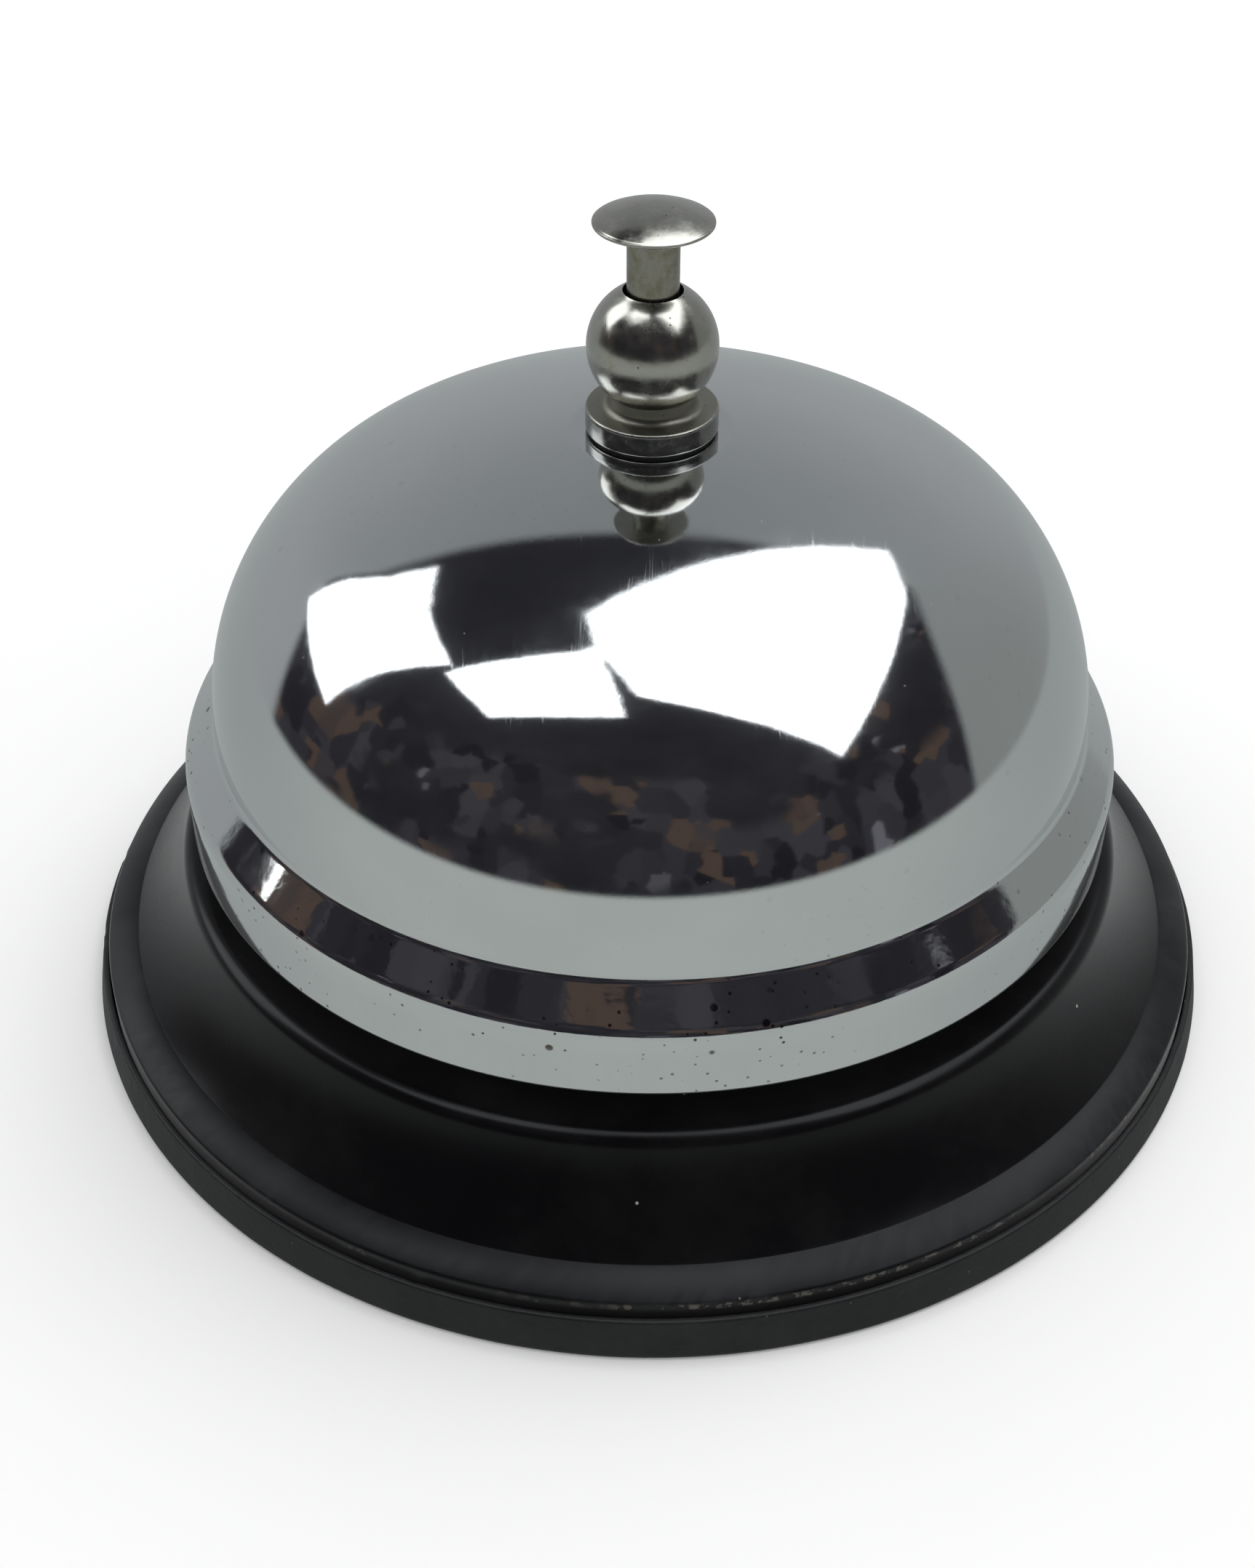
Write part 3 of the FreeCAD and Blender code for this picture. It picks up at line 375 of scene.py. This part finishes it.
def black_paint():
    """Sprayed satin-gloss black on the pan: worn ridge and bevel, smudges, dust and small chips."""
    rim, crest, ridge_foot, ridge_top = RIM[1], CREST[1], 11.9, 12.6
    finish = Finish("black_paint")
    finish.set("Specular IOR Level", 0.16)
    finish.set("Sheen Weight", 0.30)
    finish.set("Sheen Roughness", 0.35)
    place = finish.place
    bevel = finish.between(rim - 0.1, crest, 0.10)
    around = finish.vector("ADD", finish.vector("MULTIPLY", finish.spoke, (16, 16, 16)),
                           finish.vector("MULTIPLY", finish.ring, (0.3, 0, 0)))
    spokes = finish.noise(around, 2.0, 4.0, 0.7)
    smudge = finish.step(finish.noise(place, 0.10, 5.0, 0.65), 0.40, 0.70)
    haze = finish.maths("MULTIPLY", bevel, finish.step(spokes, 0.30, 0.70, 0.4, 1.0))
    rough = finish.maths("MULTIPLY_ADD", smudge, 0.08, 0.24)
    finish.set("Roughness", finish.maths("MULTIPLY_ADD", haze, 0.16, rough))
    tone = finish.mix(smudge, (0.0018, 0.0018, 0.0024), (0.0040, 0.0040, 0.0046))
    tone = finish.mix(finish.maths("MULTIPLY", haze, 0.8), tone, (0.0030, 0.0031, 0.0040))
    smear = finish.maths("MULTIPLY", haze, finish.step(finish.noise(place, 0.05, 3.0), 0.45, 0.62))
    tone = finish.mix(smear, tone, (0.0150, 0.0155, 0.0170))
    ridge = finish.between(ridge_foot, ridge_top, 0.2)
    wear = finish.maths("MULTIPLY", ridge, finish.step(finish.noise(place, 0.12, 3.0), 0.40, 0.62))
    tone = finish.mix(finish.maths("MULTIPLY", wear, 0.7), tone, (0.007, 0.007, 0.008))
    dust = finish.dots(place, 0.30, 0.30, 0.045)
    tone = finish.mix(dust, tone, (0.28, 0.27, 0.25))
    chip_noise = finish.noise(place, 1.3, 4.0, 0.65)
    chip_place = finish.maths("MULTIPLY", finish.between(rim - 0.5, rim - 0.1, 0.1),
                              finish.step(finish.noise(place, 0.07, 2.0), 0.46, 0.56))
    chips = finish.maths("MULTIPLY", finish.step(chip_noise, 0.52, 0.58), chip_place)
    finish.set("Base Color", finish.mix(chips, tone, (0.07, 0.062, 0.052)))
    finish.bump(finish.noise(place, 0.8, 2.0), 0.004)
    finish.bump(finish.maths("MULTIPLY", spokes, bevel), 0.010)
    finish.bump(dust, 0.03)
    finish.bump(chips, -0.04)
    return finish.material


def rubber():
    """Foot ring: dull dark grey rubber with paler rubbed patches, grain and dust."""
    finish = Finish("ring_rubber")
    finish.set("Specular IOR Level", 0.35)
    place = finish.place
    worn = finish.noise(place, 0.25, 5.0, 0.7)
    tone = finish.mix(finish.step(worn, 0.35, 0.70), (0.0040, 0.0042, 0.0048), (0.0105, 0.0107, 0.0105))
    tone = finish.mix(finish.dots(place, 0.9, 0.22, 0.09), tone, (0.06, 0.056, 0.050))
    finish.set("Base Color", tone)
    finish.set("Roughness", finish.maths("MULTIPLY_ADD", worn, 0.25, 0.42))
    finish.bump(finish.noise(place, 5.0, 3.0, 0.6), 0.012)
    finish.bump(finish.noise(place, 0.9, 3.0, 0.6), 0.05)
    return finish.material


def pale_floor():
    """Plain pale paper with a barely visible mottle."""
    finish = Finish("pale_floor")
    finish.set("Roughness", 0.9)
    mottle = finish.noise(finish.place, 0.01, 3.0, 0.6)
    finish.set("Base Color", finish.mix(mottle, (0.86, 0.86, 0.86), (0.90, 0.90, 0.90)))
    finish.bump(finish.noise(finish.place, 0.8, 3.0), 0.01)
    return finish.material


# ---------------------------------------------------------------- gong

def gong_side(depth):
    """Outside of the gong's sheet, or its inside at that depth, from its seat to its rim."""
    skirt_radius, rim, seat = extent("bell")
    crown_bend, side_bend, hollow_bend, shoulder_bend = 49.8, 18.0, 1.0, 1.6
    dome_radius, apex, slope = 31.32, 44.2, 42.0
    crown, side = crown_bend - depth, side_bend - depth
    hollow, shoulder = hollow_bend + depth, shoulder_bend - depth
    dome, skirt = dome_radius - depth, skirt_radius - depth
    crown_centre = (0, apex - crown_bend)
    rise = math.sqrt((crown - side) ** 2 - (dome - side) ** 2)
    side_centre = (dome - side, crown_centre[1] + rise)
    hollow_centre = (dome + hollow, side_centre[1])
    lean = math.radians(slope)
    run = skirt - dome - (hollow + shoulder) * (1 - math.cos(lean))
    along = run / math.sin(lean)
    shoulder_centre = (skirt - shoulder,
                       hollow_centre[1] - (hollow + shoulder) * math.sin(lean) - along * math.cos(lean))
    tilt = math.degrees(math.atan2(rise, dome - side))
    brow = math.degrees(math.asin((seat - depth - crown_centre[1]) / crown))
    points = arc(crown_centre, crown, brow, tilt, 64)
    points += arc(side_centre, side, tilt, 0, 48)[1:]
    points += arc(hollow_centre, hollow, 180, 180 + slope, 12)[1:]
    points += arc(shoulder_centre, shoulder, slope, 0, 16)
    return points, skirt, rim, seat - depth


def gong(finish):
    wall, hole, rim_edge = 1.0, 2.5, 0.35
    outside, skirt, rim, seat = gong_side(0.0)
    inside, inner_skirt, _, inner_seat = gong_side(wall)
    outline = [(hole, seat)] + outside
    outline += arc((skirt - rim_edge, rim + rim_edge), rim_edge, 0, -90, 6)
    outline += arc((inner_skirt + rim_edge, rim + rim_edge), rim_edge, -90, -180, 6)
    outline += inside[::-1] + [(hole, inner_seat)]
    turned("bell", outline, "base", finish)


# ---------------------------------------------------------------- base

def bulge(start, end, bend):
    """Centre of an arc with that bend from start to end, with the centre on the arc's left."""
    start, end = Vector(start), Vector(end)
    chord = end - start
    reach = math.sqrt(bend ** 2 - (chord.length / 2) ** 2)
    return (start + end) / 2 + Vector((-chord.y, chord.x)).normalized() * reach


def pan_side(depth):
    """Outside of the pan's sheet, or its inside at that depth, from its rim to its middle."""
    _, foot, top = extent("base_pan")
    flare_centre = bulge((RIDGE_RADIUS, top), CREST, FLARE_BEND)
    ridge_height = top - RIDGE_BEND
    drop = flare_centre.y - ridge_height
    across = math.sqrt((FLARE_BEND + RIDGE_BEND) ** 2 - drop ** 2)
    ridge_centre = Vector((flare_centre.x - across, ridge_height))
    flare, bend = FLARE_BEND + depth, RIDGE_BEND - depth
    start, end = heading(flare_centre, CREST) % 360, heading(flare_centre, ridge_centre) % 360
    bevel_centre = bulge(RIM, CREST, BEVEL_BEND)
    bevel, rim, edge = BEVEL_BEND - depth, RIM[0] - depth, 0.35
    rise = math.sqrt((bevel - edge) ** 2 - (rim - edge - bevel_centre.x) ** 2)
    edge_centre = (rim - edge, bevel_centre.y + rise)
    turn = heading(bevel_centre, edge_centre)
    points = [(rim, foot)] + arc(edge_centre, edge, 0, turn, 8)
    points += arc(bevel_centre, bevel, turn, heading(bevel_centre, CREST), 24)[1:]
    points += arc(flare_centre, flare, start, end, 40)
    points += arc(ridge_centre, bend, end - 180, 90, 12)[1:]
    return points + [(0, top - depth)]


def pan(finish):
    wall = 0.8
    turned("base_pan", pan_side(0.0) + pan_side(wall)[::-1], "base", finish)


def ring(finish):
    bottom, foot, top = extent("foot_ring")
    outer, inner, lip, inner_lip, floor, inner_top = 41.85, 38.6, 0.45, 1.5, 1.5, 2.6

    def nibbled(across, up, angle):
        """Rubbed and nicked outer lip, and a slightly uneven side."""
        around = Vector((math.cos(angle), math.sin(angle), 0.0))
        wave = noise.noise(around * 5)
        nick = max(0.0, noise.noise(around * 45 + Vector((3, 1, 0))) - 0.28)
        on_lip = across > outer - lip - 0.1 and up > top - 0.4
        on_side = across > outer - 0.1
        return (across - (0.05 * abs(wave) if on_side else 0.0) - (0.25 * nick if on_lip else 0.0),
                up - (0.5 * nick + 0.05 * max(0.0, wave) if on_lip else 0.0))

    outline = rounded((inner, foot, 0.3), (bottom, foot, 0.35), (outer, top, 0.2),
                      (outer - lip, top, 0.12), (outer - lip, floor), (inner + inner_lip, floor),
                      (inner + inner_lip, inner_top, 0.25), (inner, inner_top, 0.25))
    turned("foot_ring", outline, "base", finish, turns=360, wear=nibbled)


# ---------------------------------------------------------------- finial nut, rod and button

def finial(finish):
    collar, foot, mouth_height = extent("finial_nut")
    collar_top = foot + 1.6
    neck, neck_bend, ball, ball_height = 2.95, 0.55, 4.35, 50.0
    bore, socket, socket_top, edge = 1.95, 2.42, 49.6, 0.18
    neck_top = ball_height - math.sqrt(ball ** 2 - neck ** 2)
    start = heading((0, ball_height), (neck, neck_top))
    end = heading((0, ball_height), (bore, mouth_height))
    outline = rounded((socket, foot), (collar, foot, edge), (collar, collar_top, edge),
                      (neck + neck_bend, collar_top))
    outline += arc((neck + neck_bend, collar_top + neck_bend), neck_bend, 270, 180, 10)
    outline += arc((0, ball_height), ball, start, end - 1.5, 56)
    outline += [(bore + 0.03, mouth_height), (bore, mouth_height - 0.06),
                (bore, socket_top), (socket, socket_top)]
    turned("finial_nut", outline, "base", finish)


def rod(finish):
    _, tip, top = extent("plunger_rod")
    thick, thin, groove, shoulder, spigot = 1.71, 0.9, 0.62, 42.4, 0.9
    clip_low, clip_high = 28.2, 28.7
    under_cap = top - 0.55
    outline = arc((0, tip + thin), thin, -90, 0, 10)
    outline += [(thin, clip_low), (groove, clip_low), (groove, clip_high), (thin, clip_high)]
    outline += rounded((thin, shoulder), (thick, shoulder, 0.15), (thick, under_cap),
                       (spigot, under_cap))
    turned("plunger_rod", outline + [(spigot, top), (0, top)], "plunger", finish, 128)


def button(finish):
    radius, low, top = extent("button_cap")
    crown, rim_edge, under_hollow, stem, spigot = 0.95, 0.22, 0.25, 1.71, 0.9
    rim = top - crown
    crown_bend = (radius ** 2 + crown ** 2) / (2 * crown)
    start = heading((0, top - crown_bend), (radius, rim))
    under = low + under_hollow
    outline = [(0, under + 0.55), (spigot, under + 0.55), (spigot, under), (stem, under)]
    outline += rounded((stem, under), (radius, low, 0.08), (radius, rim, 0.07), (0, rim + 0.1))[1:-1]
    outline += arc((0, top - crown_bend), crown_bend, start + 1, 90, 40)
    turned("button_cap", outline, "plunger", finish, 192)


def spring(finish):
    """Return coil in the post."""
    wire, turns, steps, sides = 0.17, 9, 48, 12
    outer, low, high = extent("return_spring")
    coil, rise = outer - wire, high - low - 2 * wire
    climb = rise / (2 * math.pi * turns * coil)
    vertices, faces = [], []
    for step in range(turns * steps + 1):
        angle = 2 * math.pi * step / steps
        outward = Vector((math.cos(angle), math.sin(angle), 0))
        upward = Vector((outward.y * climb, -outward.x * climb, 1)).normalized()
        centre = outward * coil + Vector((0, 0, low + wire + rise * step / (turns * steps)))
        for side in range(sides):
            turn = 2 * math.pi * side / sides
            around = outward * math.cos(turn) + upward * math.sin(turn)
            vertices.append((centre + around * wire) * MM)
    for start in range(0, len(vertices) - sides, sides):
        for side in range(sides):
            first, second = start + side, start + (side + 1) % sides
            faces.append((first, first + sides, second + sides, second))
    faces += [tuple(range(sides)), tuple(range(len(vertices) - 1, len(vertices) - sides - 1, -1))]
    piece = stand_in("return_spring", vertices, faces, "base", finish)

    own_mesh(piece)


# ---------------------------------------------------------------- studio

def aim(seen):
    """Direction to a point on the ceiling one unit up, given as (x, y)."""
    return Vector((seen[0], seen[1], 1.0))


# Light that falls on matt surfaces, and the colour of the light panels in polished ones.
PALE, PANEL_LIGHT = 0.92, (3.0, 3.1, 3.2)
# Light panels as the polished parts see them: corners on a ceiling one unit above the bell.
PANELS = (
    ((-0.18, 0.26), (0.73, 0.93), (1.21, -0.74), (-0.03, -0.20)),
    ((-2.44, 1.48), (-0.65, 0.66), (-0.70, 0.02), (-3.50, 0.11)),
    ((-0.76, -0.04), (-0.13, 0.15), (-0.07, -0.37), (-0.67, -0.41)),
)
# Pale walls behind and beside the bell: a direction, and how far towards it they begin.
WALLS = (
    ((0.0, 1.0, 0.0), 0.52),
    ((0.75, 0.66, -0.07), 0.70),
    ((-0.64, 0.77, -0.15), 0.81),
)


def far_room(sky, way, up):
    """The unlit side of the room: dim, with goods near the horizon and brown blocks among them."""
    dim = sky.mix(sky.noise(way, 3.0, 5.0, 0.65), (0.004, 0.004, 0.006), (0.038, 0.038, 0.047))
    tall = sky.vector("MULTIPLY", way, (1.0, 1.0, 0.4))
    goods = sky.add("TexVoronoi", {"Vector": tall, "Scale": 11.0}, distance="CHEBYCHEV").outputs["Color"]
    pick = sky.add("SeparateColor", {0: goods}).outputs
    blocks = sky.add("TexVoronoi", {"Vector": way, "Scale": 4.5}, distance="CHEBYCHEV").outputs["Color"]
    wooden = sky.step(sky.add("SeparateColor", {0: blocks}).outputs[0], 0.60, 0.62)
    brown = sky.maths("MULTIPLY", sky.step(pick[1], 0.40, 0.60), wooden)
    clutter = sky.mix(pick[0], (0.010, 0.010, 0.014), (0.052, 0.050, 0.060))
    clutter = sky.mix(brown, clutter, (0.088, 0.060, 0.048))
    clutter = sky.mix(sky.step(pick[2], 0.95, 0.97), clutter, (0.16, 0.16, 0.18))
    crowded = sky.step(sky.noise(way, 1.6, 2.0), 0.40, 0.50)
    low = sky.maths("MULTIPLY", sky.step(up, 0.42, 0.30), crowded)
    scattered = sky.step(sky.noise(way, 2.6, 2.0), 0.47, 0.52)
    middle = sky.maths("MULTIPLY", sky.step(up, 0.72, 0.66), scattered)
    return sky.mix(sky.maths("MAXIMUM", low, middle), dim, clutter)


def add_walls(sky, way, up, view):
    """Pale walls, darker towards the ceiling and on the right."""
    right = sky.vector("DOT_PRODUCT", way, (1.0, 0.0, 0.0))
    colour = sky.mix(sky.step(up, 0.1, 0.9), (0.405, 0.422, 0.440), (0.282, 0.300, 0.310))
    colour = sky.mix(sky.step(right, 0.45, 0.95), colour, (0.300, 0.315, 0.312))
    for toward, begin in WALLS:
        side = sky.vector("DOT_PRODUCT", way, toward)
        view = sky.mix(sky.step(side, begin - 0.02, begin + 0.02), view, colour)
    return view


def add_table(sky, way, up, view):
    """Pale table below the horizon, darker towards the back."""
    back = sky.vector("DOT_PRODUCT", way, (0.0, 1.0, 0.0))
    table = sky.mix(sky.noise(way, 2.0, 3.0), (0.49, 0.525, 0.51), (0.55, 0.585, 0.57))
    table = sky.mix(sky.step(back, -0.55, 0.60), table, (0.400, 0.425, 0.430))
    return sky.mix(sky.step(up, -0.06, -0.12), view, table)


def add_panels(sky, way, up, view):
    """Bright panels, each bounded by the planes through its edges, with slightly ragged borders."""
    ragged = sky.maths("SUBTRACT", sky.noise(way, 9.0, 6.0, 0.7), 0.5)
    above = sky.maths("GREATER_THAN", up, 0.0)
    for corners in PANELS:
        inside = None
        for first, second in zip(corners, corners[1:] + corners[:1]):
            edge = aim(second).cross(aim(first)).normalized()
            depth = sky.vector("DOT_PRODUCT", way, tuple(edge))
            inside = depth if inside is None else sky.maths("MINIMUM", inside, depth)
        inside = sky.maths("MULTIPLY_ADD", ragged, 0.03, inside)
        view = sky.mix(sky.maths("MULTIPLY", sky.step(inside, -0.010, 0.016), above), view, PANEL_LIGHT)
    return view


def room():
    """Pale light for the floor and for matt surfaces; polished ones see a dim room with panels."""
    world = bpy.data.worlds.new("studio")
    world.use_nodes = True
    bpy.context.scene.world = world
    world.node_tree.nodes.clear()
    sky = Shading(world.node_tree)
    way = sky.add("TexCoord").outputs["Generated"]
    up = sky.add("SeparateXYZ", {0: way}).outputs["Z"]
    view = far_room(sky, way, up)
    for furnish in (add_walls, add_table, add_panels):
        view = furnish(sky, way, up, view)
    glossy = sky.add("LightPath").outputs["Is Glossy Ray"]
    pale = sky.add("Background", {"Color": (1.0, 1.0, 1.0, 1.0), "Strength": PALE}).outputs[0]
    seen = sky.add("Background", {"Color": view}).outputs[0]
    both = sky.add("MixShader", {0: glossy, 1: pale, 2: seen}).outputs[0]
    sky.feed(sky.add("OutputWorld").inputs["Surface"], both)


def floor(finish):
    half = 3.0
    mesh = bpy.data.meshes.new("floor")
    mesh.from_pydata([(-half, -half, 0), (half, -half, 0), (half, half, 0), (-half, half, 0)], [],
                     [(0, 1, 2, 3)])
    mesh.materials.append(finish)
    sheet = bpy.data.objects.new("floor", mesh)
    sheet.visible_glossy = False
    bpy.context.scene.collection.objects.link(sheet)


def soft_light():
    lamp = bpy.data.lights.new("softbox", "AREA")
    lamp.size, lamp.energy = 0.5, 2.0
    holder = bpy.data.objects.new("softbox", lamp)
    holder.location = (0.25, 0.25, 0.7)
    holder.rotation_euler = (-holder.location).to_track_quat("-Z", "Y").to_euler()
    holder.visible_glossy = False
    bpy.context.scene.collection.objects.link(holder)


def camera():
    """Just left of the front, looking down at the bell."""
    pitch, yaw, roll = 38.139, -2.540, 0.097
    lens = bpy.data.cameras.new("view")
    lens.lens, lens.sensor_width = 50.425, 36.0
    lens.clip_start, lens.clip_end = 0.01, 20.0
    holder = bpy.data.objects.new("view", lens)
    holder.matrix_world = (Matrix.Translation((0.00418, -0.13006, 0.11581))
                           @ Matrix.Rotation(math.radians(-yaw), 4, "Z")
                           @ Matrix.Rotation(math.radians(90 - pitch), 4, "X")
                           @ Matrix.Rotation(math.radians(roll), 4, "Z"))
    bpy.context.scene.collection.objects.link(holder)
    bpy.context.scene.camera = holder


# ---------------------------------------------------------------- assembly

finishes = {
    "bell_chrome": chrome(),
    "nickel_polish": nickel("nickel_polish", 45.66, 46.9),
    "nickel_satin": drawn_nickel(),
    "black_paint": black_paint(),
    "ring_rubber": rubber(),
    "zinc_steel": plain_metal("zinc_steel", (0.44, 0.45, 0.46), (0.60, 0.60, 0.58), 0.36),
    "rivet_steel": plain_metal("rivet_steel", (0.30, 0.30, 0.31), (0.52, 0.52, 0.52), 0.40),
    "spring_steel": plain_metal("spring_steel", (0.26, 0.27, 0.29), (0.46, 0.47, 0.49), 0.30),
    "striker_steel": plain_metal("striker_steel", (0.38, 0.37, 0.36), (0.58, 0.57, 0.55), 0.34),
    "brass": plain_metal("brass", (0.52, 0.34, 0.13), (0.78, 0.58, 0.27), 0.32),
    "red_fibre": fibre("red_fibre", (0.16, 0.030, 0.022), (0.30, 0.065, 0.045)),
    "black_fibre": fibre("black_fibre", (0.006, 0.006, 0.007), (0.022, 0.021, 0.020)),
}
for part in frame["record"]["subparts"]:
    mesh = frame["nodes"][part["node"]].data
    mesh.materials.clear()
    mesh.materials.append(finishes[part["material_slot"]])

gong(finishes["bell_chrome"])
pan(finishes["black_paint"])
ring(finishes["ring_rubber"])
finial(finishes["nickel_polish"])
rod(finishes["nickel_satin"])
button(finishes["nickel_polish"])
spring(finishes["spring_steel"])

room()
floor(pale_floor())
soft_light()
camera()
bpy.context.scene.view_settings.view_transform = "Standard"
